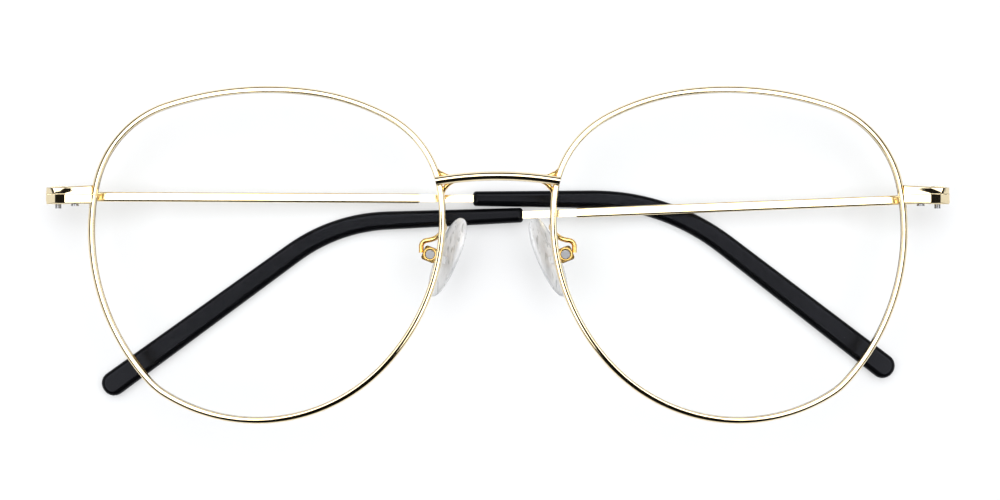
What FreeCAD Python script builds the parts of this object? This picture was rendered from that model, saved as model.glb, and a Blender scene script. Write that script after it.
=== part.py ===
import FreeCAD, Part
import math
import os

import Sketcher
from FreeCAD import Placement, Rotation, Vector

# Metal eyeglasses lying folded on their temples, front face up. Millimetres.
# X runs across the front, Y up the face of the lenses, Z away from the table.
# The origin is on the table, under the middle of the front.

doc = FreeCAD.newDocument("eyeglasses")
sizes = doc.addObject("Spreadsheet::Sheet", "sizes")

SIZE_ROWS = [
    # alias, value, what it is
    ("rim_start_x", 29.76, "start of the rim outline, near the top of the lens"),
    ("rim_start_y", 26.58, "the same, height over the datum line"),
    ("rim_start_heading", 7.65, "direction of the outline there, degrees over level"),
    ("brow_radius", 54.7, "rim outline, outer half of the top"),
    ("brow_turn", 25.2, "degrees turned along it"),
    ("temple_corner_radius", 17.4, "rim outline, upper outer corner"),
    ("temple_corner_turn", 61.1, "degrees turned along it"),
    ("side_radius", 36.7, "rim outline, outer side"),
    ("side_turn", 54.1, "degrees turned along it"),
    ("low_corner_radius", 11.3, "rim outline, short lower outer corner"),
    ("low_corner_turn", 15.4, "degrees turned along it"),
    ("bottom_radius", 28.9, "rim outline, bottom"),
    ("bottom_turn", 79.4, "degrees turned along it"),
    ("nose_side_radius", 34.8, "rim outline, lower nose side"),
    ("nose_side_turn", 48.8, "degrees turned along it"),
    ("nose_corner_turn", 55.8, "degrees turned along the upper nose corner"),
    ("rim_face", 1.1, "rim wire seen from the front"),
    ("rim_depth", 1.8, "rim wire front to back"),
    ("rim_edge", 0.3, "rounding of the rim wire"),
    ("rim_slit", 0.12, "gap where the rim wire opens"),
    ("base_radius", 131.0, "sphere that the rims follow, a four dioptre curve"),
    ("base_x", 28.0, "centre of that sphere from the middle of the front"),
    ("apex_height", 15.94, "top of that sphere over the table"),
    ("shell_height", 20.0, "height of the blocks that the rims are cut from"),
    ("groove_depth", 0.4, "lens groove in the rim wire"),
    ("groove_width", 0.6, "the same, front to back"),
    ("lens_thickness", 1.2, "plano lens"),
    ("lens_edge_gap", 0.03, "play of the lens in its rim"),
    ("bridge_arch", 58.0, "radius of the bridge bar's arch"),
    ("bridge_diameter", 1.45, "bridge bar"),
    ("bridge_crown", 12.6, "height of the bridge bar's middle over the datum"),
    ("bridge_reach", 9.9, "end of the bridge bar from the middle"),
    ("bridge_height", 14.58, "bridge bar's centre over the table"),
    ("block_inner", 65.4, "end block starts inside the rim wire"),
    ("block_outer", 73.25, "outer face of the end block"),
    ("block_low", 8.2, "lower edge of the end block over the datum"),
    ("block_split", 9.8, "line where the end block opens"),
    ("block_gap", 0.06, "gap in the end block"),
    ("block_top", 11.25, "upper edge at the rim"),
    ("block_top_outer", 10.9, "upper edge at the outer end"),
    ("block_back", 8.36, "rear face of the end block over the table"),
    ("block_depth", 1.85, "end block front to back"),
    ("block_corner", 1.5, "rounding of its outer front corner"),
    ("block_edge", 0.25, "rounding of its long edges"),
    ("lock_x", 68.2, "closing screw from the middle of the front"),
    ("lock_diameter", 0.9, "closing screw's shank"),
    ("lock_head", 1.25, "closing screw's head"),
    ("lock_head_rise", 0.3, "the head stands this far out of the block"),
    ("lock_length", 2.3, "closing screw's shank length"),
    ("screw_slot", 0.25, "width and depth of a screwdriver slot"),
    ("thread_gap", 0.02, "radial gap round a screw"),
    ("hinge_x", 71.45, "hinge axis from the middle of the front"),
    ("hinge_height", 6.1, "hinge axis over the table"),
    ("hinge_low", 8.2, "lower end of the hinge barrel"),
    ("hinge_high", 11.1, "upper end of the hinge barrel"),
    ("knuckle_low", 9.15, "lower end of the temple's knuckle"),
    ("knuckle_high", 10.05, "upper end of the temple's knuckle"),
    ("knuckle_gap", 0.04, "gap at each end of the temple's knuckle"),
    ("barrel_diameter", 1.8, "hinge barrel"),
    ("pin_diameter", 1.0, "hinge screw's shank"),
    ("pin_head", 1.4, "hinge screw's head, sunk in the barrel"),
    ("pin_head_depth", 0.45, "depth of that head"),
    ("pin_end", 7.55, "lower end of the hinge screw"),
    ("plate_inner", 68.9, "inner end of the front hinge plate"),
    ("plate_reach", 0.75, "outer side of that plate beyond the hinge axis"),
    ("plate_thickness", 0.55, "front hinge plate"),
    ("bar_offset", 1.4, "hinge axis to the middle of the temple bar"),
    ("bar_butt", 2.16, "temple bar ahead of the hinge axis"),
    ("bar_end", 58.5, "where the bar steps down to its wire"),
    ("bar_height", 1.6, "temple bar seen from the side"),
    ("bar_thickness", 0.85, "temple bar"),
    ("bar_edge", 0.3, "rounding of the temple bar"),
    ("wire_height", 1.15, "wire inside the tip"),
    ("wire_thickness", 0.75, "the same, seen from above"),
    ("wire_end", 37.0, "the wire's end beyond the bend"),
    ("wire_gap", 0.02, "play between wire and tip"),
    ("leaf_length", 4.2, "temple hinge leaf along the bar"),
    ("leaf_thickness", 0.4, "temple hinge leaf"),
    ("tip_start", 67.5, "sleeve's front end from the hinge"),
    ("tip_start_height", 2.42, "sleeve's height there"),
    ("tip_bend_height", 3.25, "sleeve's height at the bend"),
    ("tip_end_height", 4.1, "sleeve's height at its end"),
    ("tip_thickness", 1.95, "sleeve from inside to outside"),
    ("tip_edge", 0.85, "rounding of the sleeve"),
    ("tip_start_corner", 0.5, "rounding of the sleeve's front end"),
    ("tip_end_corner", 1.95, "rounding of the sleeve's rear end"),
    ("fold_slope", 2.15, "folded temple against the front, degrees"),
    ("tip_lift", 3.4, "tips lean towards the front, degrees"),
    ("left_level", 9.6, "left temple bar over the datum at the hinge"),
    ("left_droop", 0.25, "left temple's fall along its length, degrees"),
    ("left_bend", 37.4, "left temple's bend behind the ear, degrees"),
    ("left_bend_radius", 36.0, "middle of that bend"),
    ("left_bend_at", 99.3, "hinge to the corner of that bend"),
    ("left_tip", 46.8, "that corner to the tip's end"),
    ("right_level", 9.27, "right temple bar over the datum at the hinge"),
    ("right_droop", 2.26, "right temple's fall along its length, degrees"),
    ("right_bend", 33.8, "right temple's bend behind the ear, degrees"),
    ("right_bend_radius", 28.0, "middle of that bend"),
    ("right_bend_at", 98.4, "hinge to the corner of that bend"),
    ("right_tip", 46.95, "that corner to the tip's end"),
    ("pad_screw_x", 10.9, "nose pad screw from the middle"),
    ("pad_screw_y", 0.1, "nose pad screw over the datum"),
    ("pad_screw_height", 9.03, "middle of the pad box over the table"),
    ("pad_screw_diameter", 0.8, "nose pad screw's shank"),
    ("pad_screw_head", 1.4, "nose pad screw's head"),
    ("pad_screw_rise", 0.3, "height of that head"),
    ("box_side", 2.4, "pad box, square side"),
    ("box_depth", 1.9, "pad box along its screw"),
    ("box_slot", 1.1, "slot in the pad box"),
    ("box_wall", 0.4, "closed side of the pad box"),
    ("box_corner", 0.45, "rounding of the pad box"),
    ("tab_height", 1.2, "tab of the pad insert"),
    ("tab_thickness", 0.95, "the same, along the screw"),
    ("core_diameter", 4.0, "disc inside the nose pad"),
    ("core_thickness", 0.6, "the same"),
    ("pad_stem", 2.95, "screw to the middle of the nose pad"),
    ("pad_shift", 0.55, "the pad sits this far up its own length"),
    ("pad_length", 13.6, "nose pad"),
    ("pad_width", 7.0, "nose pad"),
    ("pad_thickness", 2.2, "nose pad"),
    ("pad_corner", 3.3, "rounding of the pad's outline"),
    ("pad_edge", 0.85, "rounding of the pad's faces"),
    ("pad_frontal", 22.0, "pads lean in towards the top, degrees"),
    ("pad_splay", 28.0, "pads open towards the rear, degrees"),
    ("arm_diameter", 0.8, "pad arm wire"),
    ("arm_root_x", 8.85, "pad arm's start behind the rim, from the middle"),
    ("arm_root_y", 5.2, "the same, over the datum"),
    ("arm_root_height", 12.94, "the same, over the table"),
    ("arm_bulge_x", 8.4, "corner of the arm's route nearest the nose"),
    ("arm_bulge_y", 4.3, "the same, over the datum"),
    ("arm_bulge_height", 10.54, "the same, over the table"),
    ("arm_shoulder_x", 10.0, "corner of the arm's route between the rim and the pad box"),
    ("arm_shoulder_y", 2.6, "the same, over the datum"),
    ("arm_shoulder_height", 9.3, "the same, over the table"),
    ("arm_turn_x", 12.35, "corner of the arm's route at the pad box's outer side"),
    ("arm_turn_y", 2.2, "the same, over the datum"),
    ("arm_turn_height", 9.0, "the same, over the table"),
    ("arm_end_x", 12.36, "pad arm's end on the pad box"),
    ("arm_end_y", 0.37, "the same, over the datum"),
    ("arm_end_height", 9.03, "the same, over the table"),
    ("overshoot", 1.0, "cutting shapes reach this far past what they cut"),
]

for row, (alias, value, note) in enumerate(SIZE_ROWS, start=1):
    sizes.set(f"A{row}", note)
    sizes.set(f"B{row}", str(value))
    sizes.setAlias(f"B{row}", alias)
doc.recompute()

X_AXIS = Vector(1, 0, 0)
Y_AXIS = Vector(0, 1, 0)
Z_AXIS = Vector(0, 0, 1)
ALONG_Y = Rotation(X_AXIS, -90)
# Turns a sphere so that its seam and its poles stay clear of the front.
SEAM_BELOW = Rotation(Y_AXIS, 90) * Rotation(X_AXIS, 90)
TINY = 1e-6
ARC_SHARE = 0.45


def size(alias):
    """The number in the sheet."""
    return float(sizes.get(alias))


def formula(text):
    """The expression over sheet aliases, written with a leading sizes for each."""
    words = {alias for alias, _, _ in SIZE_ROWS}
    out, word = "", ""
    for letter in text + " ":
        if letter.isalnum() or letter == "_":
            word += letter
            continue
        out += ("sizes." + word if word in words else word) + letter
        word = ""
    return out.strip()


def bind(thing, **expressions):
    """Binds properties of an object to expressions; a double underscore stands for a dot."""
    for name, text in expressions.items():
        thing.setExpression(name.replace("__", "."), formula(text))
    return thing


def number(text):
    """What an expression over the sheet comes to now."""
    return float(sizes.evalExpression(formula(text)))


def block(name, x, y, z):
    """A box between two bounds along each axis."""
    made = doc.addObject("Part::Box", name)
    for side, axis, (low, high) in (("Length", "x", x), ("Width", "y", y), ("Height", "z", z)):
        bind(made, **{side: f"({high}) - ({low})", f"Placement__Base__{axis}": low})
    return made


def rod(name, diameter, axis, x, y, z):
    """A cylinder along "y" or "z": that bound is a pair and the others are its centre."""
    made = doc.addObject("Part::Cylinder", name)
    bounds = {"x": (x, x), "y": y if axis == "y" else (y, y), "z": z if axis == "z" else (z, z)}
    low, high = bounds[axis]
    if axis == "y":
        made.Placement = Placement(Vector(), ALONG_Y)
    bind(made, Radius=f"({diameter}) / 2", Height=f"({high}) - ({low})")
    for letter, (base, _) in bounds.items():
        bind(made, **{f"Placement__Base__{letter}": base})
    return made


def cut(name, base, tool):
    made = doc.addObject("Part::Cut", name)
    made.Base = base
    made.Tool = tool
    return made


def common(name, base, tool):
    made = doc.addObject("Part::Common", name)
    made.Base = base
    made.Tool = tool
    return made


def fuse(name, *shapes):
    made = doc.addObject("Part::MultiFuse", name)
    made.Shapes = list(shapes)
    made.Refine = True
    return made


def mirrored(name, source):
    """The same piece on the other side of the face."""
    made = doc.addObject("Part::Mirroring", name)
    made.Source = source
    made.Base = Vector()
    made.Normal = X_AXIS
    return made


def origin_plane(body, role):
    return next(f for f in body.Origin.OriginFeatures if f.Role == role)


def corners_sketch(body, name, corners):
    """A closed outline of straight lines on the body's XY plane, each corner held by two lengths."""
    sketch = body.newObject("Sketcher::SketchObject", name)
    sketch.AttachmentSupport = [(origin_plane(body, "XY_Plane"), "")]
    sketch.MapMode = "FlatFace"
    points = [Vector(number(x), number(y), 0) for x, y in corners]
    for i, point in enumerate(points):
        sketch.addGeometry(Part.LineSegment(point, points[(i + 1) % len(points)]), False)
    for i in range(len(points)):
        sketch.addConstraint(Sketcher.Constraint("Coincident", i, 2, (i + 1) % len(points), 1))
    for i, (x, y) in enumerate(corners):
        for kind, text, value in (("DistanceX", x, points[i].x), ("DistanceY", y, points[i].y)):
            index = sketch.addConstraint(Sketcher.Constraint(kind, -1, 1, i, 1, value))
            sketch.setExpression(f"Constraints[{index}]", formula(text))
    return sketch


def pad(body, name, corners, thickness, centred=False):
    """A prism on the body's XY plane."""
    made = body.newObject("PartDesign::Pad", name)
    made.Profile = corners_sketch(body, name + "_outline", corners)
    made.Midplane = centred
    bind(made, Length=thickness)
    doc.recompute()
    return made


def round_edges(body, name, chosen, radius):
    """A fillet on those edges of the body's tip that the test picks."""
    base = body.Tip
    picked = [f"Edge{i}" for i, e in enumerate(base.Shape.Edges, start=1) if chosen(e)]
    made = body.newObject("PartDesign::Fillet", name)
    made.Base = (base, picked)
    bind(made, Radius=radius)
    doc.recompute()
    return made


def ends_of(edge):
    return edge.Vertexes[0].Point, edge.Vertexes[-1].Point


def upright(edge):
    """True for an edge along the body's Z."""
    first, last = ends_of(edge)
    return math.hypot(first.x - last.x, first.y - last.y) < TINY


def upright_near(x, y):
    """Picks the upright edge at the corner with those expressions."""
    corner = Vector(number(x), number(y), 0)

    def chosen(edge):
        first, _ = ends_of(edge)
        return upright(edge) and math.hypot(first.x - corner.x, first.y - corner.y) < 100 * TINY

    return chosen


# ---------------------------------------------------------------- rims and lenses

OUTLINE_ARCS = ["brow", "temple_corner", "side", "low_corner", "bottom", "nose_side"]


def rim_arcs():
    """(centre, radius, heading, turn) of the eight tangent arcs, clockwise from the start.

    Six radii are given. The last two, at the upper nose corner and the inner half of the
    brow, are the pair that brings the outline back to its start.
    """
    turns = [math.radians(size(name + "_turn")) for name in OUTLINE_ARCS]
    turns.append(math.radians(size("nose_corner_turn")))
    turns.append(2 * math.pi - sum(turns))
    headings = [math.radians(size("rim_start_heading"))]
    for turn in turns:
        headings.append(headings[-1] - turn)
    steps = [
        (math.sin(a) - math.sin(b), math.cos(b) - math.cos(a))
        for a, b in zip(headings, headings[1:])
    ]
    radii = [size(name + "_radius") for name in OUTLINE_ARCS]
    gap_x = -sum(r * s[0] for r, s in zip(radii, steps))
    gap_y = -sum(r * s[1] for r, s in zip(radii, steps))
    (ax, ay), (bx, by) = steps[-2:]
    whole = ax * by - bx * ay
    radii.append((gap_x * by - bx * gap_y) / whole)
    radii.append((ax * gap_y - gap_x * ay) / whole)
    arcs = []
    x, y = size("rim_start_x"), size("rim_start_y")
    for radius, heading, turn, (dx, dy) in zip(radii, headings, turns, steps):
        centre = Vector(x + radius * math.sin(heading), y - radius * math.cos(heading), 0)
        arcs.append((centre, radius, heading, turn))
        x += radius * dx
        y += radius * dy
    return arcs


def rim_outline():
    sketch = doc.addObject("Sketcher::SketchObject", "rim_outline")
    for centre, radius, heading, turn in rim_arcs():
        start = heading + math.pi / 2
        circle = Part.Circle(centre, Z_AXIS, radius)
        sketch.addGeometry(Part.ArcOfCircle(circle, start - turn, start), False)
    return sketch


def prism(name, outline):
    made = doc.addObject("Part::Extrusion", name)
    made.Base = outline
    made.DirMode = "Custom"
    made.Dir = Z_AXIS
    made.Solid = True
    bind(made, LengthFwd="shell_height")
    return made


def inset(name, outline, amount):
    made = doc.addObject("Part::Offset2D", name)
    made.Source = outline
    bind(made, Value=f"-({amount})")
    return made


def curved_shell(name, depth, thickness):
    """The space between two spheres of the base curve, that far under the front."""
    spheres = []
    for part, under in (("outside", depth), ("inside", f"{depth} + {thickness}")):
        ball = doc.addObject("Part::Sphere", f"{name}_{part}")
        ball.Placement = Placement(Vector(), SEAM_BELOW)
        bind(
            ball,
            Radius=f"base_radius - ({under})",
            Placement__Base__x="base_x",
            Placement__Base__z="apex_height - base_radius",
        )
        spheres.append(ball)
    return cut(name, *spheres)


def rim():
    """The rim wire: a ring on the base curve with rounded edges, a lens groove and a slit."""
    outline = rim_outline()
    inside = prism("rim_inside", inset("rim_inset", outline, "rim_face"))
    ring = cut("rim_ring", prism("rim_outside", outline), inside)
    wire = common("rim_wire", ring, curved_shell("rim_shell", "0", "rim_depth"))
    doc.recompute()
    rounded = doc.addObject("Part::Fillet", "rim_rounded")
    rounded.Base = wire
    radius = size("rim_edge")
    edges = enumerate(wire.Shape.Edges, start=1)
    rounded.Edges = [(i, radius, radius) for i, e in edges if not upright(e)]
    groove_shell = curved_shell("groove_shell", "(rim_depth - groove_width) / 2", "groove_width")
    groove_edge = inset("groove_inset", outline, "rim_face - groove_depth")
    groove = common("groove_disc", prism("groove_prism", groove_edge), groove_shell)
    grooved = cut("rim_grooved", rounded, groove)
    slit = block(
        "rim_slit_space",
        ("block_inner - 2 * rim_face", "block_outer"),
        ("block_split - rim_slit / 2", "block_split + rim_slit / 2"),
        ("0", "shell_height"),
    )
    return cut("rim_right", grooved, slit), outline


def lens(outline):
    """A plano lens: a disc inside the rim and a thinner bevel that fills the groove."""
    disc = common(
        "lens_disc",
        prism("lens_prism", inset("lens_inset", outline, "rim_face + lens_edge_gap")),
        curved_shell("lens_shell", "(rim_depth - lens_thickness) / 2", "lens_thickness"),
    )
    bevel_edge = inset("bevel_inset", outline, "rim_face - groove_depth + 2 * lens_edge_gap")
    bevel = common(
        "bevel_disc",
        prism("bevel_prism", bevel_edge),
        curved_shell(
            "bevel_shell",
            "(rim_depth - groove_width) / 2 + lens_edge_gap",
            "groove_width - 2 * lens_edge_gap",
        ),
    )
    return fuse("lens_right", disc, bevel)


# ---------------------------------------------------------------- bridge


def bridge(rims):
    """An arched round bar laid across the front of both rims and soldered there."""
    bar = doc.addObject("Part::Torus", "bridge_bar")
    half = "asin(bridge_reach / bridge_arch)"
    bar.Placement = Placement(Vector(), Rotation(Z_AXIS, 90 - number(half)))
    bind(
        bar,
        Radius1="bridge_arch",
        Radius2="bridge_diameter / 2",
        Angle3=f"2 * {half}",
        Placement__Base__y="bridge_crown - bridge_arch",
        Placement__Base__z="bridge_height",
    )
    right, left = rims
    return cut("bridge", cut("bridge_fitted", bar, right), left)


# ---------------------------------------------------------------- end block and its screw


def end_block(rim_right):
    """The block that closes the rim, in two halves, with the hole for the closing screw."""
    outer, inner = "block_outer", "block_inner"
    upper_low, lower_high = "block_split + block_gap / 2", "block_split - block_gap / 2"
    middle = "block_back + block_depth / 2"
    halves = {
        "upper": [(inner, upper_low), (outer, upper_low), (outer, "block_top_outer"), (inner, "block_top")],
        "lower": [(inner, "block_low"), (outer, "block_low"), (outer, lower_high), (inner, lower_high)],
    }
    hole = rod(
        "lock_hole",
        "lock_diameter + 2 * thread_gap",
        "y",
        "lock_x",
        ("block_low - overshoot", "block_low + lock_length + thread_gap"),
        middle,
    )
    made = {}
    for half, corners in halves.items():
        body = doc.addObject("PartDesign::Body", f"block_{half}")
        pad(body, f"block_{half}_pad", corners, "block_depth")
        front = number("block_depth")

        def outer_front(edge, x=number(outer)):
            return all(abs(p.x - x) < TINY and abs(p.z - front) < TINY for p in ends_of(edge))

        def outer_long(edge, y=number("block_top" if half == "upper" else "block_low")):
            first, last = ends_of(edge)
            long = abs(first.x - last.x) > front and abs(first.z - last.z) < TINY
            return long and min(abs(first.y - y), abs(last.y - y)) < TINY

        round_edges(body, f"block_{half}_corner", outer_front, "block_corner")
        round_edges(body, f"block_{half}_edge", outer_long, "block_edge")
        bind(body, Placement__Base__z="block_back")
        fitted = cut(f"block_{half}_fitted", body, rim_right)
        made[half] = cut(f"endpiece_{half}_right", fitted, hole)
    return made["upper"], made["lower"]


def screw(name, shank, head, slot):
    """A shank and a head with a driver slot."""
    solid = fuse(name + "_solid", rod(name + "_shank", *shank), rod(name + "_head", *head))
    return cut(name, solid, block(name + "_slot", *slot))


def closing_screw():
    """Stands upright in the end block, its head below it."""
    middle = "block_back + block_depth / 2"
    low = "block_low - lock_head_rise"
    return screw(
        "closing_screw_right",
        ("lock_diameter", "y", "lock_x", ("block_low", "block_low + lock_length"), middle),
        ("lock_head", "y", "lock_x", (low, "block_low"), middle),
        (
            ("lock_x - lock_head", "lock_x + lock_head"),
            (f"{low} - overshoot", f"{low} + screw_slot / 2"),
            (f"{middle} - screw_slot / 2", f"{middle} + screw_slot / 2"),
        ),
    )


# ---------------------------------------------------------------- hinges

PIN_BORE = "pin_diameter + 2 * thread_gap"


def front_hinge():
    """A plate behind the end block with two knuckles round the hinge axis."""
    inner, outer = "hinge_x - barrel_diameter / 2", "hinge_x + plate_reach"
    plate = block(
        "front_plate",
        ("plate_inner", outer),
        ("hinge_low", "hinge_high"),
        ("block_back - plate_thickness", "block_back"),
    )
    solids = [plate]
    spans = {
        "lower": ("hinge_low", "knuckle_low - knuckle_gap"),
        "upper": ("knuckle_high + knuckle_gap", "hinge_high"),
    }
    for name, span in spans.items():
        solids.append(rod(f"front_knuckle_{name}", "barrel_diameter", "y", "hinge_x", span, "hinge_height"))
        solids.append(block(f"front_leg_{name}", (inner, outer), span, ("hinge_height", "block_back")))
    whole = fuse("front_hinge_solid", *solids)
    bore = rod(
        "front_bore",
        PIN_BORE,
        "y",
        "hinge_x",
        ("hinge_low - overshoot", "hinge_high"),
        "hinge_height",
    )
    sink = rod(
        "front_sink",
        "pin_head + 2 * thread_gap",
        "y",
        "hinge_x",
        ("hinge_high - pin_head_depth - thread_gap", "hinge_high + overshoot"),
        "hinge_height",
    )
    return cut("front_hinge_right", whole, fuse("front_hinge_holes", bore, sink))


def hinge_screw():
    """Holds the knuckles together; its head is sunk in the upper one and its end shows below."""
    return screw(
        "hinge_screw_right",
        ("pin_diameter", "y", "hinge_x", ("pin_end", "hinge_high - pin_head_depth"), "hinge_height"),
        ("pin_head", "y", "hinge_x", ("hinge_high - pin_head_depth", "hinge_high"), "hinge_height"),
        (
            ("hinge_x - pin_head", "hinge_x + pin_head"),
            ("hinge_high - screw_slot", "hinge_high + overshoot"),
            ("hinge_height - screw_slot / 2", "hinge_height + screw_slot / 2"),
        ),
    )


def temple_hinge(side, sign, bar):
    """The temple's knuckle on a leaf that is soldered to the inner face of the bar."""
    radius = "barrel_diameter / 2"
    centre = f"{sign} * hinge_x"
    span = ("knuckle_low", "knuckle_high")
    knuckle = rod(f"knuckle_{side}", "barrel_diameter", "y", centre, span, "hinge_height")
    inboard, outboard = f"{centre} - {sign} * leaf_length", f"{centre} + {sign} * {radius}"
    lower_x, upper_x = (inboard, outboard) if sign > 0 else (outboard, inboard)
    leaf = block(
        f"leaf_{side}",
        (lower_x, upper_x),
        span,
        ("hinge_height - bar_offset", "hinge_height - bar_offset + bar_thickness / 2 + leaf_thickness"),
    )
    leg = block(
        f"leg_{side}",
        (f"{centre} - {radius}", f"{centre} + {radius}"),
        span,
        ("hinge_height - bar_offset", "hinge_height"),
    )
    whole = fuse(f"temple_hinge_{side}_solid", knuckle, leaf, leg)
    bore = rod(
        f"temple_bore_{side}",
        PIN_BORE,
        "y",
        centre,
        ("knuckle_low - overshoot", "knuckle_high + overshoot"),
        "hinge_height",
    )
    return cut(f"temple_hinge_{side}", cut(f"temple_hinge_{side}_bored", whole, bore), bar)


# ---------------------------------------------------------------- temples


def temple_place(side, sign):
    """The temple's own frame: X along the bar, Y up, at the hinge in the bar's middle plane."""
    droop = math.radians(size(f"{side}_droop"))
    slope = math.radians(size("fold_slope"))
    lift = math.radians(size("tip_lift"))
    level = math.cos(droop)
    along = Vector(-sign * math.cos(slope) * level, -math.sin(droop), -math.sin(slope) * level)
    level_inward = (Y_AXIS.cross(along) * sign).normalize()
    level_up = along.cross(level_inward) * sign
    up = level_up * math.cos(lift) - level_inward * math.sin(lift)
    inward = level_inward * math.cos(lift) + level_up * math.sin(lift)
    hinge = Vector(sign * size("hinge_x"), size(f"{side}_level"), size("hinge_height"))
    return Placement(hinge - inward * size("bar_offset"), Rotation(along, up, along.cross(up), "XYZ"))


def bent_corners(side, start, heights, end):
    """Outline of a strip that runs straight, bends down at the temple's bend and ends there.

    The heights are those at the start, the bend and the end. Returns six corners, the
    second and the fifth at the bend.
    """
    first, middle, last = (f"({text}) / 2" for text in heights)
    bend, at = f"{side}_bend", f"{side}_bend_at"
    end_x, end_y = f"{at} + ({end}) * cos({bend})", f"-({end}) * sin({bend})"
    return [
        (start, first),
        (f"{at} + {middle} * tan({bend} / 2)", middle),
        (f"{end_x} + {last} * sin({bend})", f"{end_y} + {last} * cos({bend})"),
        (f"{end_x} - {last} * sin({bend})", f"{end_y} - {last} * cos({bend})"),
        (f"{at} - {middle} * tan({bend} / 2)", f"-{middle}"),
        (start, f"-{first}"),
    ]


def bent_wire(body, name, side, start, grow):
    """The core wire of a temple, larger all round by that gap."""
    height = f"wire_height + 2 * {grow}"
    corners = bent_corners(side, start, (height, height, height), f"wire_end + {grow}")
    pad(body, name, corners, f"wire_thickness + 2 * {grow}", centred=True)
    for label, corner, way in (("outer", corners[1], "+"), ("inner", corners[4], "-")):
        radius = f"{side}_bend_radius {way} ({height}) / 2"
        round_edges(body, f"{name}_{label}", upright_near(*corner), radius)


def temple_bar(side, place):
    """A flat bar from the hinge that steps down to the wire inside the tip."""
    body = doc.addObject("PartDesign::Body", f"temple_bar_{side}")
    bent_wire(body, f"temple_wire_{side}", side, "bar_end - bar_height", "0")
    half = "bar_height / 2"
    corners = [
        ("-bar_butt", half),
        ("bar_end", half),
        ("bar_end + bar_height / 2", "0"),
        ("bar_end", f"-{half}"),
        ("-bar_butt", f"-{half}"),
    ]
    pad(body, f"temple_flat_{side}", corners, "bar_thickness", centred=True)
    top = number(half)

    def long_edge(edge):
        return all(abs(abs(p.y) - top) < TINY for p in ends_of(edge)) and not upright(edge)

    round_edges(body, f"temple_flat_{side}_edge", long_edge, "bar_edge")
    body.Placement = place
    return body


def temple_tip(side, place):
    """The sleeve over the wire: tapered, rounded and bent behind the ear."""
    body = doc.addObject("PartDesign::Body", f"sleeve_{side}")
    heights = ("tip_start_height", "tip_bend_height", "tip_end_height")
    corners = bent_corners(side, "tip_start", heights, f"{side}_tip")
    pad(body, f"sleeve_{side}_pad", corners, "tip_thickness", centred=True)
    radii = (
        "tip_start_corner",
        f"{side}_bend_radius + tip_bend_height / 2",
        "tip_end_corner",
        "tip_end_corner",
        f"{side}_bend_radius - tip_bend_height / 2",
        "tip_start_corner",
    )
    for i, (corner, radius) in enumerate(zip(corners, radii)):
        round_edges(body, f"sleeve_{side}_corner{i}", upright_near(*corner), radius)
    round_edges(body, f"sleeve_{side}_edge", lambda edge: not upright(edge), "tip_edge")
    body.Placement = place
    channel = doc.addObject("PartDesign::Body", f"channel_{side}")
    bent_wire(channel, f"channel_wire_{side}", side, "tip_start - overshoot", "wire_gap")
    channel.Placement = place
    return cut(f"temple_tip_{side}", body, channel)


# ---------------------------------------------------------------- nose pads

PAD_SCREW_BORE = "pad_screw_diameter + 2 * thread_gap"


def pad_box_turn():
    """Turns the pad box, its slot and the pad's tab towards the nose pad."""
    return Rotation(Z_AXIS, size("pad_frontal"))


def at_pad_screw(thing):
    """Moves a piece that was built round the origin to the pad screw."""
    centre = Vector(size("pad_screw_x"), size("pad_screw_y"), size("pad_screw_height"))
    thing.Placement = Placement(centre, pad_box_turn())
    return thing


def pad_box():
    """A small box, open to the nose, that holds the pad's tab on its screw."""
    half = "box_side / 2"
    body = doc.addObject("PartDesign::Body", "box_body")
    corners = [(half, half), (f"-{half}", half), (f"-{half}", f"-{half}"), (half, f"-{half}")]
    pad(body, "box_pad", corners, "box_depth", centred=True)
    round_edges(body, "box_corners", upright, "box_corner")
    slot = block(
        "box_slot_space",
        (f"-{half} - overshoot", f"{half} - box_wall"),
        (f"-{half} - overshoot", f"{half} + overshoot"),
        ("-box_slot / 2", "box_slot / 2"),
    )
    bore = rod("box_bore", PAD_SCREW_BORE, "z", "0", "0", ("-box_depth", "box_depth"))
    return at_pad_screw(cut("pad_box_right", body, fuse("box_holes", slot, bore)))


def pad_screw():
    """Runs front to back through the pad box, its head towards the front."""
    front = "box_depth / 2"
    return at_pad_screw(
        screw(
            "pad_screw_right",
            ("pad_screw_diameter", "z", "0", "0", (f"-{front}", front)),
            ("pad_screw_head", "z", "0", "0", (front, f"{front} + pad_screw_rise")),
            (
                ("-pad_screw_head", "pad_screw_head"),
                ("-screw_slot / 2", "screw_slot / 2"),
                (f"{front} + pad_screw_rise - screw_slot / 2", f"{front} + overshoot"),
            ),
        )
    )


def pad_frame():
    """(pad middle, rotation) of the right nose pad: local Y up its length and Z to its rear."""
    frontal, splay = math.radians(size("pad_frontal")), math.radians(size("pad_splay"))
    length = Vector(-math.sin(frontal), math.cos(frontal), 0)
    level = math.cos(splay)
    outward = Vector(level * math.cos(frontal), level * math.sin(frontal), math.sin(splay))
    screw_at = Vector(size("pad_screw_x"), size("pad_screw_y"), size("pad_screw_height"))
    middle = screw_at - outward * size("pad_stem")
    return middle, length, Rotation(length.cross(outward), length, outward, "XYZ")


def pad_core():
    """The insert moulded into the pad: a disc, and a tab with the screw hole."""
    middle, _, turn = pad_frame()
    disc = doc.addObject("Part::Cylinder", "core_disc")
    disc.Placement = Placement(middle - turn.multVec(Z_AXIS) * (size("core_thickness") / 2), turn)
    bind(disc, Radius="core_diameter / 2", Height="core_thickness")
    half, thick = "tab_height / 2", ("-tab_thickness / 2", "tab_thickness / 2")
    strip = block("core_strip", ("-pad_stem", "0"), (f"-{half}", half), thick)
    eye = rod("core_eye", "tab_height", "z", "0", "0", thick)
    bore = rod("core_bore", PAD_SCREW_BORE, "z", "0", "0", ("-tab_thickness", "tab_thickness"))
    tab = at_pad_screw(cut("core_tab", fuse("core_tab_solid", strip, eye), bore))
    return fuse("pad_core_right", disc, tab)


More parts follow.
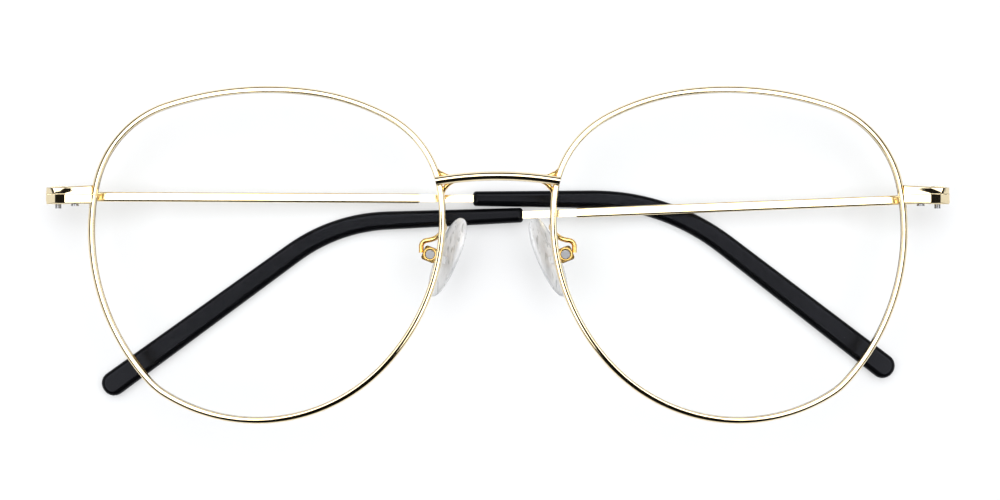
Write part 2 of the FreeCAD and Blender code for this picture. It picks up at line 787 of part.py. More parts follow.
def nose_pad(core):
    """The soft pad, an oval cushion moulded round the insert."""
    half_length, half_width = "pad_length / 2", "pad_width / 2"
    body = doc.addObject("PartDesign::Body", "pad_body")
    corners = [
        (half_width, half_length),
        (f"-{half_width}", half_length),
        (f"-{half_width}", f"-{half_length}"),
        (half_width, f"-{half_length}"),
    ]
    pad(body, "pad_slab", corners, "pad_thickness", centred=True)
    round_edges(body, "pad_corners", upright, "pad_corner")
    round_edges(body, "pad_faces", lambda edge: not upright(edge), "pad_edge")
    middle, length, turn = pad_frame()
    body.Placement = Placement(middle + length * size("pad_shift"), turn)
    return cut("nose_pad_right", body, core)


def rounded_path(points):
    """Straight runs joined by tangent arcs, each arc as large as its two runs allow."""
    edges, here = [], points[0]
    for before, corner, after in zip(points, points[1:], points[2:]):
        back, ahead = before - corner, after - corner
        half = (math.pi - back.getAngle(ahead)) / 2
        reach = ARC_SHARE * min(back.Length, ahead.Length)
        back.normalize()
        ahead.normalize()
        start, end = corner + back * reach, corner + ahead * reach
        radius = reach / math.tan(half)
        bisector = (back + ahead).normalize()
        middle = corner + bisector * (radius / math.cos(half) - radius)
        edges += [Part.LineSegment(here, start), Part.Arc(start, middle, end)]
        here = end
    edges.append(Part.LineSegment(here, points[-1]))
    return Part.Wire([edge.toShape() for edge in edges])


def pad_arm(rim_right, box):
    """The wire from the rim's rear face round to the pad box."""
    points = [
        Vector(*(size(f"arm_{corner}_{axis}") for axis in ("x", "y", "height")))
        for corner in ("root", "bulge", "shoulder", "turn", "end")
    ]
    path = rounded_path(points)
    profile = Part.Wire(Part.makeCircle(size("arm_diameter") / 2, points[0], points[1] - points[0]))
    sweep = doc.addObject("Part::Feature", "arm_wire")
    sweep.Shape = path.makePipeShell([profile], True, False)
    return cut("pad_arm_right", cut("arm_fitted", sweep, rim_right), box)


# ---------------------------------------------------------------- assembly and export

rim_right, rim_shape = rim()
lens_right = lens(rim_shape)
upper, lower = end_block(rim_right)
box_right = pad_box()
core_right = pad_core()
right_pieces = {
    "rim": rim_right,
    "lens": lens_right,
    "endpiece_upper": upper,
    "endpiece_lower": lower,
    "closing_screw": closing_screw(),
    "front_hinge": front_hinge(),
    "hinge_screw": hinge_screw(),
    "pad_box": box_right,
    "pad_screw": pad_screw(),
    "pad_core": core_right,
    "nose_pad": nose_pad(core_right),
    "pad_arm": pad_arm(rim_right, box_right),
}
nodes = list(right_pieces.values())
left_pieces = {name: mirrored(name + "_left", piece) for name, piece in right_pieces.items()}
nodes += left_pieces.values()
nodes.append(bridge((rim_right, left_pieces["rim"])))
for side, sign in (("left", -1), ("right", 1)):
    place = temple_place(side, sign)
    bar = temple_bar(side, place)
    nodes += [bar, temple_tip(side, place), temple_hinge(side, sign, bar)]
doc.recompute()

for thing in doc.Objects:
    if {"Invalid", "Error"} & set(thing.State):
        raise RuntimeError(f"{thing.Label} did not compute: {thing.State}")
for node in nodes:
    if node.Shape.isNull() or not node.Shape.isValid() or len(node.Shape.Solids) != 1:
        raise RuntimeError(f"{node.Label} is not one valid solid: {len(node.Shape.Solids)}")

os.makedirs("parts", exist_ok=True)
for node in nodes:
    node.Shape.exportStep(f"parts/{node.Label}.step")

whole = FreeCAD.BoundBox()
for node in nodes:
    whole.add(node.Shape.BoundBox)
print(f"{len(nodes)} nodes, box {whole}")
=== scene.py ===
"""Looks of a pair of gold wire eyeglasses with black sleeves, folded, face up on a light table."""

import math

import bpy
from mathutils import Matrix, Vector


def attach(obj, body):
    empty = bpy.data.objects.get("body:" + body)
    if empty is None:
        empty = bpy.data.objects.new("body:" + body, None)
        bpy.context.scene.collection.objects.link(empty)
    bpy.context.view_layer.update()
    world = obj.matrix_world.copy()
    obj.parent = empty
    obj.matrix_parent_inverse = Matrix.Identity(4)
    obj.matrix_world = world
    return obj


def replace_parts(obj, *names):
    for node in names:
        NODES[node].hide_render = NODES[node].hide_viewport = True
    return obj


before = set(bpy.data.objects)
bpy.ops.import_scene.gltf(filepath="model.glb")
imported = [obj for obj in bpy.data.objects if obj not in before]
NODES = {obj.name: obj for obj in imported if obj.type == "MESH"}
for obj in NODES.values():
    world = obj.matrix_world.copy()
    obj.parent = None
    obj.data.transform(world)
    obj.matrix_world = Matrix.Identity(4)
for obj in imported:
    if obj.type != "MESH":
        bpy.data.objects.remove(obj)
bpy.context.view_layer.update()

MM = 0.001
SIDES = {"right": 1, "left": -1}
UP = Vector((0, 0, 1))

# The rim's outline, the same tangent arcs as in the part: radii, and turns in degrees,
# clockwise from a point near the top of the right lens. Two more radii are worked out to close it.
OUTLINE_START = Vector((29.76, 26.58)) * MM
OUTLINE_HEADING = math.radians(7.65)
OUTLINE_RADII = [54.7 * MM, 17.4 * MM, 36.7 * MM, 11.3 * MM, 28.9 * MM, 34.8 * MM]
OUTLINE_TURNS = [25.2, 61.1, 54.1, 15.4, 79.4, 48.8, 55.8]

# The sphere that both the lenses and the rims follow.
BASE_RADIUS = 131.0 * MM
BASE_X = 28.0 * MM
APEX_HEIGHT = 15.94 * MM

RIM_FACE = 1.1 * MM
RIM_DEPTH = 1.8 * MM
RIM_ROUNDNESS = 3.3
GROOVE_DEPTH = 0.4 * MM
GROOVE_HALF = 0.3 * MM
SLIT_LEVEL = 9.8 * MM
SLIT_HALF = 0.06 * MM

BRIDGE_ARCH = 58.0 * MM
BRIDGE_CROWN = 12.6 * MM
BRIDGE_HEIGHT = 14.58 * MM
BRIDGE_RADIUS = 0.725 * MM

# The end block, in millimetres: distance from the middle, how far its front face stands over its
# rear face, the share of the front that is flat, and the fall of the rest towards the long edge.
BLOCK_BACK = 8.36 * MM
BLOCK_FRONT = {
    "upper": [
        (65.4, 1.85, 0.99, 0.0),
        (66.0, 1.83, 0.97, 0.52),
        (69.6, 1.68, 0.10, 0.52),
        (69.75, 1.64, 0.06, 0.50),
        (69.9, 1.58, 0.06, 0.48),
        (71.40, 0.98, 0.06, 0.26),
        (71.46, 0.95, 0.06, 0.22),
        (71.52, 0.91, 0.06, 0.15),
        (71.60, 0.86, 0.06, 0.08),
        (72.0, 0.64, 0.06, 0.0),
        (72.7, 0.24, 0.06, 0.0),
        (72.95, 0.10, 0.06, 0.0),
    ],
    "lower": [
        (65.4, 1.85, 0.99, 0.0),
        (69.5, 1.68, 0.99, 0.0),
        (69.7, 1.66, 0.99, 0.0),
        (69.8, 1.62, 0.99, 0.0),
        (71.40, 0.98, 0.99, 0.0),
        (71.46, 0.95, 0.99, 0.0),
        (71.52, 0.91, 0.99, 0.0),
        (71.60, 0.86, 0.99, 0.0),
        (72.7, 0.24, 0.99, 0.0),
        (72.95, 0.10, 0.99, 0.0),
    ],
}
# Each half's levels: the face at the opening, then the long edge at the rim and at the end.
BLOCK_HALVES = {"upper": (9.83, 11.25, 10.9), "lower": (9.77, 8.2, 8.2)}
BLOCK_CORNER = 0.34 * MM
BLOCK_EDGE = 0.06 * MM
BLOCK_KNEE = 0.03 * MM

PAD_SCREW = Vector((10.9, 0.1, 9.03)) * MM
PAD_STEM = 2.95 * MM
PAD_SHIFT = 0.55 * MM
PAD_LENGTH = 13.6 * MM
PAD_WIDTH = 7.0 * MM
PAD_THICKNESS = 2.2 * MM
PAD_FRONTAL = math.radians(22)
PAD_SPLAY = math.radians(28)
PAD_REAR_CROWN = 0.72
PAD_FRONT_CROWN = 1.0
PAD_CROWN_POWER = 2.4
PAD_TIP_POWER = 0.86
PAD_SIDE_POWER = 0.82
PAD_TAPER = 0.10
BOX_DEPTH = 1.9 * MM
COLLAR_RADIUS = 0.93 * MM
COLLAR_WIRE = 0.2 * MM
COLLAR_LIFT = 0.05 * MM

# The solder webs at the bridge: how far each reaches along the bar, and its thickness.
SOLDER_LEVEL_AT = 9 * MM
SOLDER_SPANS = {"above": (1, 1.9 * MM), "below": (-1, 2.3 * MM)}
SOLDER_THIN = 0.14  # millimetres
SOLDER_THICKENING = 0.26  # millimetres

# The stage, in metres.
TABLE_BED_LEVEL = -0.165
FLAG_LEVEL = 1.0
FLAG_HALF = [(0.25, 0.125), (0.25, -0.20), (0.28, -0.42), (0.85, -0.80), (0.85, -1.35)]
SOFTBOX_SIZE = (2.6, 2.2)
SOFTBOX_PLACE = (0, 0.35, 1.35)
SOFTBOX_AIM = (0, 0.35, 0)
SOFTBOX_RADIANCE = 2.4
CAMERA_PLACE = Vector((0.35, 0.8, 412.5)) * MM
CAMERA_LENS = 90
CAMERA_SENSOR = 36

# The surroundings: colours by how steeply a direction points up, to the sides and ahead.
PALE = (0.92, 0.95, 1.0, 1)
DIM = (0.64, 0.64, 0.64, 1)
DARK = (0.012, 0.011, 0.010, 1)
SIDE_STOPS = (
    (0.0, DIM), (0.20, DIM), (0.28, PALE), (0.42, PALE), (0.48, DARK), (0.70, DARK), (0.76, PALE)
)
AHEAD_STOPS = ((0.0, DIM), (0.10, DIM), (0.16, DARK), (0.76, DARK), (0.84, PALE))
AHEAD_FROM, AHEAD_TO = 0.25, 0.55


# ---------------------------------------------------------------- meshes


def mesh_object(name, points, faces, material, body, slot, sharp=40):
    """A smooth mesh piece on a CAD body, with its finish."""
    mesh = bpy.data.meshes.new(name)
    mesh.from_pydata([tuple(p) for p in points], [], faces)
    mesh.validate()
    mesh.polygons.foreach_set("use_smooth", [True] * len(mesh.polygons))
    mesh.set_sharp_from_angle(angle=math.radians(sharp))
    mesh.materials.append(material)
    made = bpy.data.objects.new(name, mesh)
    bpy.context.scene.collection.objects.link(made)
    if body:
        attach(made, body)
    return made


def skin(rings):
    """Faces between rings of equal length, each ring a closed loop; the ends are capped."""
    count = len(rings[0])
    points = [p for ring in rings for p in ring]
    faces = []
    for r in range(len(rings) - 1):
        for i in range(count):
            j = (i + 1) % count
            a, b = r * count, (r + 1) * count
            faces.append((a + i, a + j, b + j, b + i))
    faces.append(tuple(reversed(range(count))))
    faces.append(tuple(range(len(points) - count, len(points))))
    return points, faces


def reflected(points, faces):
    """The same mesh on the wearer's other side."""
    return [Vector((-p[0], p[1], p[2])) for p in points], [tuple(reversed(f)) for f in faces]


def on_side(sign, points, faces):
    return (points, faces) if sign > 0 else reflected(points, faces)


def power(value, exponent):
    """A signed power, for superellipses."""
    return math.copysign(abs(value) ** exponent, value)


# ---------------------------------------------------------------- materials


class Nodes:
    """Short spelling for building a material's nodes."""

    def __init__(self, name):
        self.material = bpy.data.materials.new(name)
        self.material.use_nodes = True
        self.tree = self.material.node_tree
        self.tree.nodes.clear()
        self.place = self.new("TexCoord").outputs["Object"]

    def new(self, kind, **settings):
        node = self.tree.nodes.new("ShaderNode" + kind)
        for name, value in settings.items():
            setattr(node, name, value)
        return node

    def feed(self, node, **inputs):
        """Sets inputs by name, with underscores for spaces: a value or another node's output."""
        for name, value in inputs.items():
            socket = node.inputs[name.replace("_", " ")]
            if isinstance(value, bpy.types.NodeSocket):
                self.tree.links.new(value, socket)
            elif isinstance(value, tuple) and len(value) == 3 and socket.type == "RGBA":
                socket.default_value = (*value, 1)
            else:
                socket.default_value = value
        return node

    def noise(self, scale, detail=2.0, stretch=(1, 1, 1)):
        """Noise between about 0.3 and 0.7; the scale is in waves a metre."""
        mapping = self.feed(self.new("Mapping"), Vector=self.place, Scale=stretch)
        made = self.new("TexNoise")
        self.feed(made, Vector=mapping.outputs["Vector"], Scale=scale, Detail=detail)
        return made.outputs["Fac"]

    def between(self, factor, low, high):
        """A number from low to high as the noise goes from 0.3 to 0.7."""
        made = self.new("MapRange")
        self.feed(made, Value=factor, From_Min=0.3, From_Max=0.7, To_Min=low, To_Max=high)
        return made.outputs["Result"]

    def colours(self, factor, first, second):
        """A colour between two, as the noise goes from 0.3 to 0.7."""
        ramp = self.new("ValToRGB")
        ramp.color_ramp.elements[0].position = 0.3
        ramp.color_ramp.elements[0].color = (*first, 1)
        ramp.color_ramp.elements[1].position = 0.7
        ramp.color_ramp.elements[1].color = (*second, 1)
        self.feed(ramp, Fac=factor)
        return ramp.outputs["Color"]

    def bump(self, height, distance, strength=1.0):
        made = self.feed(self.new("Bump"), Height=height, Distance=distance, Strength=strength)
        return made.outputs["Normal"]

    def maths(self, operation, *values):
        """A sum over numbers and other nodes' outputs."""
        made = self.new("Math", operation=operation)
        for socket, value in zip(made.inputs, values):
            if isinstance(value, bpy.types.NodeSocket):
                self.tree.links.new(value, socket)
            else:
                socket.default_value = value
        return made.outputs[0]

    def mix(self, factor, first, second):
        """A blend of two shaders."""
        made = self.new("MixShader")
        self.feed(made, Fac=factor)
        self.tree.links.new(first.outputs[0], made.inputs[1])
        self.tree.links.new(second.outputs[0], made.inputs[2])
        return made

    def finish(self, shader):
        output = self.new("OutputMaterial")
        self.tree.links.new(shader.outputs[0], output.inputs["Surface"])
        return self.material


def polished_metal(name, pale, deep, gloss, scratch):
    """Plated metal: slow changes of tint, fine polishing marks and slightly uneven gloss."""
    n = Nodes(name)
    tint = n.noise(260, 3)
    marks = n.noise(5200, 4, (1, 1, 3))
    smear = n.noise(900, 3)
    shader = n.feed(
        n.new("BsdfPrincipled"),
        Base_Color=n.colours(tint, pale, deep),
        Metallic=1.0,
        Roughness=n.between(smear, *gloss),
        Normal=n.bump(marks, scratch),
    )
    return n.finish(shader)


def black_acetate():
    """Moulded black plastic: deep and glossy, faintly uneven, with fine wear in the gloss."""
    n = Nodes("black_acetate")
    mottle = n.noise(420, 3)
    wear = n.noise(1500, 3)
    swell = n.noise(90, 1)
    shader = n.feed(
        n.new("BsdfPrincipled"),
        Base_Color=n.colours(mottle, (0.0016, 0.0016, 0.0020), (0.0030, 0.0030, 0.0036)),
        Roughness=n.between(wear, 0.20, 0.24),
        Specular_IOR_Level=0.13,
        Specular_Tint=(0.86, 0.88, 1.0),
        Normal=n.bump(swell, 0.00002),
    )
    return n.finish(shader)


def clear_silicone():
    """Milky clear pad with fine flow lines along it, and painted shade that greys its outline where the
    surface turns away from view.
    """
    n = Nodes("clear_pad")
    flow = n.noise(650, 4, (1, 0.28, 1))
    streaks = n.noise(2400, 3, (1, 0.10, 0.5))
    ripple = n.noise(900, 2, (1, 0.4, 1))
    edge = n.feed(n.new("LayerWeight"), Blend=0.55).outputs["Facing"]
    milk = n.colours(flow, (0.72, 0.73, 0.75), (0.98, 0.98, 0.99))
    line = n.new("MapRange")
    n.feed(line, Value=streaks, From_Min=0.34, From_Max=0.42, To_Min=0.62, To_Max=1.0)
    # Painted shade: the colour darkens to 45% where the surface turns away from view, greying the pad's
    # outline.
    outline = n.new("MapRange")
    n.feed(outline, Value=edge, From_Min=0.70, From_Max=0.95, To_Min=1.0, To_Max=0.45)
    tint = n.feed(n.new("VectorMath", operation="SCALE"), Vector=milk)
    n.feed(tint, Scale=n.maths("MULTIPLY", line.outputs["Result"], outline.outputs["Result"]))
    body = n.feed(
        n.new("BsdfPrincipled"),
        Base_Color=tint.outputs["Vector"],
        Roughness=n.between(ripple, 0.10, 0.28),
        Specular_IOR_Level=0.7,
        Coat_Weight=0.6,
        Coat_Roughness=0.08,
        Normal=n.bump(ripple, 0.00022),
    )
    clear = n.feed(n.new("BsdfTransparent"), Color=(0.96, 0.97, 0.98))
    share = n.feed(n.new("MapRange"), Value=edge, From_Min=0.0, From_Max=0.8, To_Min=0.72, To_Max=0.95)
    return n.finish(n.mix(share.outputs["Result"], clear, body))


def clear_lens():
    """A demo lens: almost nothing but a faint, slightly smudged reflection at its edges."""
    n = Nodes("clear_lens")
    smudge = n.noise(90, 3)
    gloss = n.between(smudge, 0.02, 0.07)
    shine = n.feed(n.new("BsdfGlossy"), Color=(0.93, 1.0, 0.96), Roughness=gloss)
    tint = n.colours(smudge, (0.992, 0.995, 0.993), (1.0, 1.0, 1.0))
    clear = n.feed(n.new("BsdfTransparent"), Color=tint)
    facing = n.feed(n.new("LayerWeight"), Blend=0.5).outputs["Facing"]
    grazing = n.maths("POWER", facing, 4.0)
    front = n.maths("SUBTRACT", 1.0, n.new("NewGeometry").outputs["Backfacing"])
    share = n.maths("MULTIPLY", n.maths("MULTIPLY", grazing, 0.5), front)
    return n.finish(n.mix(share, clear, shine))


def light_table_film():
    """The table's thin translucent top, which takes the contact shadows."""
    n = Nodes("table_film")
    grain = n.noise(30, 2)
    tint = n.colours(grain, (0.90, 0.91, 0.925), (0.915, 0.922, 0.935))
    paint = n.feed(n.new("BsdfDiffuse"), Color=tint)
    clear = n.feed(n.new("BsdfTransparent"), Color=(1, 1, 1))
    return n.finish(n.mix(n.between(grain, 0.50, 0.52), clear, paint))


def light_table_bed():
    """The lit bed under the film."""
    n = Nodes("table_bed")
    grain = n.noise(8, 2)
    tint = n.colours(grain, (0.985, 0.99, 1.0), (1.0, 1.0, 1.0))
    return n.finish(n.feed(n.new("Emission"), Color=tint, Strength=0.98))


GOLD = polished_metal(
    "gold_metal", (0.93, 0.80, 0.55), (0.88, 0.72, 0.44), (0.05, 0.09), 0.000002
)
RICH_GOLD = polished_metal(
    "rich_gold_metal", (0.93, 0.66, 0.26), (0.84, 0.53, 0.16), (0.14, 0.22), 0.000006
)
STEEL = polished_metal(
    "screw_metal", (0.34, 0.34, 0.35), (0.22, 0.22, 0.23), (0.16, 0.28), 0.000006
)
BRIGHT_STEEL = polished_metal(
    "bright_steel", (0.55, 0.55, 0.57), (0.40, 0.40, 0.42), (0.30, 0.38), 0.000004
)
BLACK = black_acetate()
SILICONE = clear_silicone()
LENS = clear_lens()

NODE_FINISH = {
    "rim": GOLD,
    "lens": LENS,
    "bridge": GOLD,
    "endpiece_upper": GOLD,
    "endpiece_lower": GOLD,
    "closing_screw": STEEL,
    "front_hinge": GOLD,
    "hinge_screw": STEEL,
    "temple_bar": GOLD,
    "temple_hinge": GOLD,
    "temple_tip": BLACK,
    "pad_box": RICH_GOLD,
    "pad_screw": BRIGHT_STEEL,
    "pad_core": SILICONE,
    "nose_pad": SILICONE,
    "pad_arm": RICH_GOLD,
}


def paint_cad_nodes():
    for name, node in NODES.items():
        kind = name.removesuffix("_left").removesuffix("_right")
        node.data.materials.clear()
        node.data.materials.append(NODE_FINISH[kind])


# ---------------------------------------------------------------- rims


def outline_arcs():
    """(centre, radius, heading, turn) of the arcs round the right rim's outer edge."""
    turns = [math.radians(t) for t in OUTLINE_TURNS]
    turns.append(2 * math.pi - sum(turns))
    headings = [OUTLINE_HEADING]
    for turn in turns:
        headings.append(headings[-1] - turn)
    steps = [
        Vector((math.sin(a) - math.sin(b), math.cos(b) - math.cos(a)))
        for a, b in zip(headings, headings[1:])
    ]
    gap = -sum((r * s for r, s in zip(OUTLINE_RADII, steps)), Vector((0, 0)))
    first, second = steps[-2:]
    whole = first.x * second.y - second.x * first.y
    radii = [
        *OUTLINE_RADII,
        (gap.x * second.y - second.x * gap.y) / whole,
        (first.x * gap.y - gap.x * first.y) / whole,
    ]
    arcs, here = [], OUTLINE_START.copy()
    for radius, heading, turn, step in zip(radii, headings, turns, steps):
        centre = here + radius * Vector((math.sin(heading), -math.cos(heading)))
        arcs.append((centre, radius, heading, turn))
        here += radius * step
    return arcs


ARCS = outline_arcs()
OUTLINE_LENGTH = sum(radius * turn for _, radius, _, turn in ARCS)


def outline_at(distance):
    """(point, inward direction) of the outline, that far along it from its start."""
    left = distance % OUTLINE_LENGTH
    for centre, radius, heading, turn in ARCS:
        if left <= radius * turn:
            break
        left -= radius * turn
    angle = heading - left / radius
    inward = Vector((math.sin(angle), -math.cos(angle)))
    return centre - radius * inward, inward


def outline_crossing(level):
    """How far along the outline its temple side comes down to that level."""
    low, high = 0.0, OUTLINE_LENGTH / 2
    for _ in range(50):
        middle = (low + high) / 2
        if outline_at(middle)[0].y > level:
            low = middle
        else:
            high = middle
    return low


def on_base_curve(flat, under):
    """The point over (x, y) that lies that far under the front of the base curve."""
    reach = (BASE_RADIUS - under) ** 2 - (flat.x - BASE_X) ** 2 - flat.y**2
    return Vector((flat.x, flat.y, APEX_HEIGHT - BASE_RADIUS + math.sqrt(reach)))


def rim_profile(count=30):
    """(inward, under) pairs round the wire: a crowned section with the lens groove."""
    middle, half = RIM_DEPTH / 2, RIM_FACE / 2
    profile = []
    for i in range(count + 1):
        angle = math.pi * 0.12 + i / count * math.pi * 1.76
        across = half + half * power(math.cos(angle), 2 / RIM_ROUNDNESS)
        under = middle - middle * power(math.sin(angle), 2 / RIM_ROUNDNESS)
        profile.append((across, under))
    inner = RIM_FACE - GROOVE_DEPTH
    edge = RIM_FACE - 0.004 * MM
    profile += [(edge, middle + GROOVE_HALF), (inner, middle + GROOVE_HALF)]
    profile += [(inner, middle - GROOVE_HALF), (edge, middle - GROOVE_HALF)]
    return profile


def rim(side, sign):
    """The rim wire, open at its slit."""
    start = outline_crossing(SLIT_LEVEL - SLIT_HALF)
    end = outline_crossing(SLIT_LEVEL + SLIT_HALF) + OUTLINE_LENGTH
    profile = rim_profile()
    count = 260
    rings = []
    for i in range(count + 1):
        edge, inward = outline_at(start + (end - start) * i / count)
        rings.append([on_base_curve(edge + inward * across, under) for across, under in profile])
    made = mesh_object(f"rim_wire_{side}", *on_side(sign, *skin(rings)), GOLD, "front", "gold_metal")
    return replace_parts(made, f"rim_{side}")


# ---------------------------------------------------------------- nose pads


def nose_pad(side, sign):
    """A drop-shaped cushion, crowned towards the nose and flatter behind."""
    length_way = Vector((-math.sin(PAD_FRONTAL), math.cos(PAD_FRONTAL), 0))
    outward = Vector((
        math.cos(PAD_SPLAY) * math.cos(PAD_FRONTAL),
        math.cos(PAD_SPLAY) * math.sin(PAD_FRONTAL),
        math.sin(PAD_SPLAY),
    ))
    width_way = length_way.cross(outward)
    middle = PAD_SCREW - outward * PAD_STEM + length_way * PAD_SHIFT
    around, layers = 56, 9
    levels = [math.sin(math.pi / 2 * k / layers) for k in range(1, layers + 1)]
    sections = [(r, -1) for r in levels] + [(r, 1) for r in reversed(levels[:-1])]
    rings = []
    for reach, face in sections:
        crown = (1 - reach**PAD_CROWN_POWER) ** 0.5
        depth = PAD_THICKNESS / 2 * face * crown * (PAD_REAR_CROWN if face > 0 else PAD_FRONT_CROWN)
        ring = []
        for i in range(around):
            angle = 2 * math.pi * i / around
            along = PAD_LENGTH / 2 * power(math.sin(angle), PAD_TIP_POWER)
            narrow = 1 + PAD_TAPER * math.sin(angle) - 0.03 * math.sin(angle) ** 2
            across = PAD_WIDTH / 2 * power(math.cos(angle), PAD_SIDE_POWER) * narrow
            ring.append(middle + (length_way * along + width_way * across) * reach + outward * depth)
        rings.append(ring)
    made = mesh_object(
        f"soft_pad_{side}", *on_side(sign, *skin(rings)), SILICONE, f"{side}_pad", "clear_pad", 80
    )
    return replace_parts(made, f"nose_pad_{side}")


# ---------------------------------------------------------------- end blocks


def block_section(split, edge, front, flat, fall, count=6):
    """(level, height) round a block half: flat beside the opening, then falling to its long edge."""
    way = math.copysign(1, edge - split)
    wide = abs(edge - split)
    drop = wide * (1 - flat) * fall
    large = min(BLOCK_CORNER, wide * 0.4, (front - drop) * 0.4)
    small = min(BLOCK_EDGE, large)
    corners = [
        (edge, front - drop, 1, 1, large),
        (split, front, -1, 1, small),
        (split, 0.0, -1, -1, small),
        (edge, 0.0, 1, -1, small),
    ]
    section = []
    for quarter, (level, height, across, up, radius) in enumerate(corners):
        for i in range(count + 1):
            angle = math.pi / 2 * (quarter + i / count)
            section.append((
                level + way * radius * (math.cos(angle) - across),
                BLOCK_BACK + height + radius * (math.sin(angle) - up),
            ))
        if quarter == 0:
            knee = min(flat * wide, wide - large - BLOCK_KNEE)
            for offset in (BLOCK_KNEE, -BLOCK_KNEE):
                past = max(0.0, knee + offset - flat * wide)
                height = BLOCK_BACK + front - past * fall
                section.append((split + way * max(knee + offset, small), height))
    return section


def end_block(side, sign):
    """Both halves of the closing block, with the front bent back towards the outer end."""
    for half, (split, at_rim, at_end) in BLOCK_HALVES.items():
        stations = BLOCK_FRONT[half]
        first, last = stations[0][0], stations[-1][0]
        rings = []
        for x, front, flat, fall in stations:
            edge = at_rim + (at_end - at_rim) * (x - first) / (last - first)
            section = block_section(split * MM, edge * MM, front * MM, flat, fall)
            rings.append([Vector((x * MM, level, height)) for level, height in section])
        made = mesh_object(
            f"block_{half}_{side}", *on_side(sign, *skin(rings)), GOLD, "front", "gold_metal", 35
        )
        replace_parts(made, f"endpiece_{half}_{side}")


# ---------------------------------------------------------------- solder


def tube(path, radii, around=18):
    """A round wire along a path with a radius at each point."""
    rings = []
    for i, (point, radius) in enumerate(zip(path, radii)):
        ahead = path[min(i + 1, len(path) - 1)] - path[max(i - 1, 0)]
        side_way = ahead.cross(UP).normalized()
        rise = side_way.cross(ahead).normalized()
        rings.append([
            point + radius * (math.cos(a) * side_way + math.sin(a) * rise)
            for a in (2 * math.pi * k / around for k in range(around))
        ])
    return skin(rings)


def curve_through(start, corner, end, count=14):
    """A smooth path from start to end that heads for the corner first."""
    shares = [i / count for i in range(count + 1)]
    return [start * (1 - t) ** 2 + corner * 2 * t * (1 - t) + end * t**2 for t in shares]


def bridge_level(x):
    return BRIDGE_CROWN - BRIDGE_ARCH + math.sqrt(BRIDGE_ARCH**2 - x**2)


def nose_edge(level):
    """The outline's point nearest the nose at that level."""
    steps = [outline_at(OUTLINE_LENGTH * (0.5 + 0.5 * i / 400))[0] for i in range(400)]
    return min(steps, key=lambda p: abs(p.y - level))


def bridge_solder(side, sign):
    """Webs of solder that run from the bridge bar into the rim, above and below it."""
    joint_level = bridge_level(SOLDER_LEVEL_AT)
    for name, (way, span) in SOLDER_SPANS.items():
        far = nose_edge(joint_level + way * (BRIDGE_RADIUS + span * 0.8))
        near = nose_edge(joint_level + way * BRIDGE_RADIUS)
        start = Vector((
            near.x - span,
            bridge_level(near.x - span) + way * 0.5 * MM,
            BRIDGE_HEIGHT - 0.25 * MM,
        ))
        corner = Vector((near.x + 0.15 * MM, near.y - way * 0.1 * MM, BRIDGE_HEIGHT - 0.8 * MM))
        end = Vector((far.x + 0.25 * MM, far.y, BRIDGE_HEIGHT - 1.15 * MM))
        path = curve_through(start, corner, end)
        half = len(path) // 2
        radii = [
            (SOLDER_THIN + SOLDER_THICKENING * (1 - abs(i - half) / half)) * MM
            for i in range(len(path))
        ]
        web = on_side(sign, *tube(path, radii))
        mesh_object(f"solder_{name}_{side}", *web, RICH_GOLD, "front", "gold_metal")


def pad_collar(side, sign):
    """A raised gold ring round the pad screw's head, on the front of the pad box."""
    around = [2 * math.pi * i / 40 for i in range(41)]
    centre = PAD_SCREW + Vector((0, 0, BOX_DEPTH / 2 + COLLAR_LIFT))
    path = [centre + COLLAR_RADIUS * Vector((math.cos(a), math.sin(a), 0)) for a in around]
    points, faces = tube(path, [COLLAR_WIRE] * len(path), 14)
    mesh_object(f"pad_collar_{side}", *on_side(sign, points, faces), RICH_GOLD, "front", "gold_metal")


# ---------------------------------------------------------------- table, light and camera


def staged_plane(name, width, depth, centre, material):
    """A level rectangle that isn't part of the object."""
    x, y = width / 2, depth / 2
    corners = [(-x, -y, 0), (x, -y, 0), (x, y, 0), (-x, y, 0)]
    made = mesh_object(name, corners, [(0, 1, 2, 3)], material, None, None)
    made.location = centre
    return made


def softbox(name, width, height, place, aim, radiance):
    """A rectangular light whose face has that brightness."""
    light = bpy.data.lights.new(name, "AREA")
    light.shape = "RECTANGLE"
    light.size, light.size_y = width, height
    light.energy = radiance * math.pi * width * height
    made = bpy.data.objects.new(name, light)
    bpy.context.scene.collection.objects.link(made)
    made.location = place
    made.rotation_euler = (Vector(aim) - Vector(place)).to_track_quat("-Z", "Y").to_euler()
    return made


def flag_material():
    """Black cloth, which reflects almost nothing."""
    n = Nodes("black_flag")
    weave = n.noise(60, 2)
    cloth = n.colours(weave, (0.004, 0.004, 0.004), (0.009, 0.009, 0.009))
    return n.finish(n.feed(n.new("BsdfDiffuse"), Color=cloth))


def camera_flag():
    """A black card over the camera, wider towards the front of the table."""
    corners = FLAG_HALF + [(-x, y) for x, y in reversed(FLAG_HALF)]
    points = [(x, y, 0) for x, y in corners]
    made = mesh_object("camera_flag", points, [tuple(range(len(corners)))], flag_material(), None, None)
    made.location = (0, 0, FLAG_LEVEL)


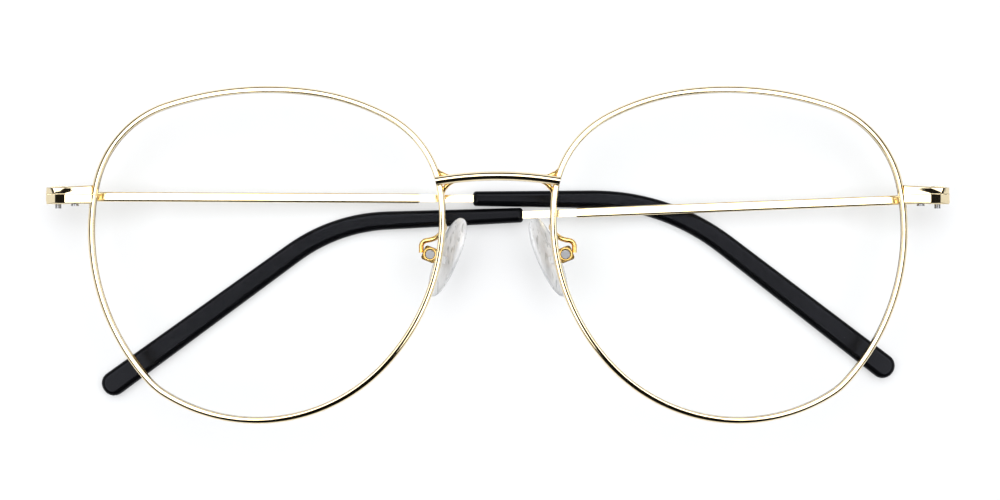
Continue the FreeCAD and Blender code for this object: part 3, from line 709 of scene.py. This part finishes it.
def studio_world():
    """Pale walls and ceiling with a dark band between them, taller in front of the table."""
    world = bpy.data.worlds.new("studio")
    bpy.context.scene.world = world
    world.use_nodes = True
    tree = world.node_tree
    new, link = tree.nodes.new, tree.links.new
    way = new("ShaderNodeSeparateXYZ")
    link(new("ShaderNodeTexCoord").outputs["Generated"], way.inputs[0])
    bands = []
    for stops in (SIDE_STOPS, AHEAD_STOPS):
        ramp = new("ShaderNodeValToRGB")
        ramp.color_ramp.elements[0].position, ramp.color_ramp.elements[0].color = stops[0]
        ramp.color_ramp.elements[1].position, ramp.color_ramp.elements[1].color = stops[-1]
        for position, colour in stops[1:-1]:
            ramp.color_ramp.elements.new(position).color = colour
        link(way.outputs["Z"], ramp.inputs["Fac"])
        bands.append(ramp.outputs["Color"])
    ahead = new("ShaderNodeMapRange")
    ahead.inputs["From Min"].default_value = AHEAD_FROM
    ahead.inputs["From Max"].default_value = AHEAD_TO
    either_way = new("ShaderNodeMath")
    either_way.operation = "ABSOLUTE"
    link(way.outputs["Y"], either_way.inputs[0])
    link(either_way.outputs[0], ahead.inputs["Value"])
    mix = new("ShaderNodeMixRGB")
    link(ahead.outputs["Result"], mix.inputs["Fac"])
    for band, name in zip(bands, ("Color1", "Color2")):
        link(band, mix.inputs[name])
    link(mix.outputs["Color"], tree.nodes["Background"].inputs["Color"])


def studio():
    """A light table under a large overhead softbox, with a black card over the camera."""
    staged_plane("table_film", 6, 6, (0, 0, 0), light_table_film())
    staged_plane("table_bed", 8, 8, (0, 0, TABLE_BED_LEVEL), light_table_bed())
    camera_flag()
    softbox("overhead", *SOFTBOX_SIZE, SOFTBOX_PLACE, SOFTBOX_AIM, SOFTBOX_RADIANCE)
    studio_world()
    bpy.context.scene.view_settings.view_transform = "Standard"


def camera():
    """Looks straight down on the front, as high over it as the lens needs."""
    data = bpy.data.cameras.new("camera")
    data.sensor_width = CAMERA_SENSOR
    data.lens = CAMERA_LENS
    data.clip_start, data.clip_end = 0.05, 20
    made = bpy.data.objects.new("camera", data)
    bpy.context.scene.collection.objects.link(made)
    made.location = CAMERA_PLACE
    bpy.context.scene.camera = made


paint_cad_nodes()
for side, sign in SIDES.items():
    rim(side, sign)
    nose_pad(side, sign)
    end_block(side, sign)
    bridge_solder(side, sign)
    pad_collar(side, sign)
studio()
camera()
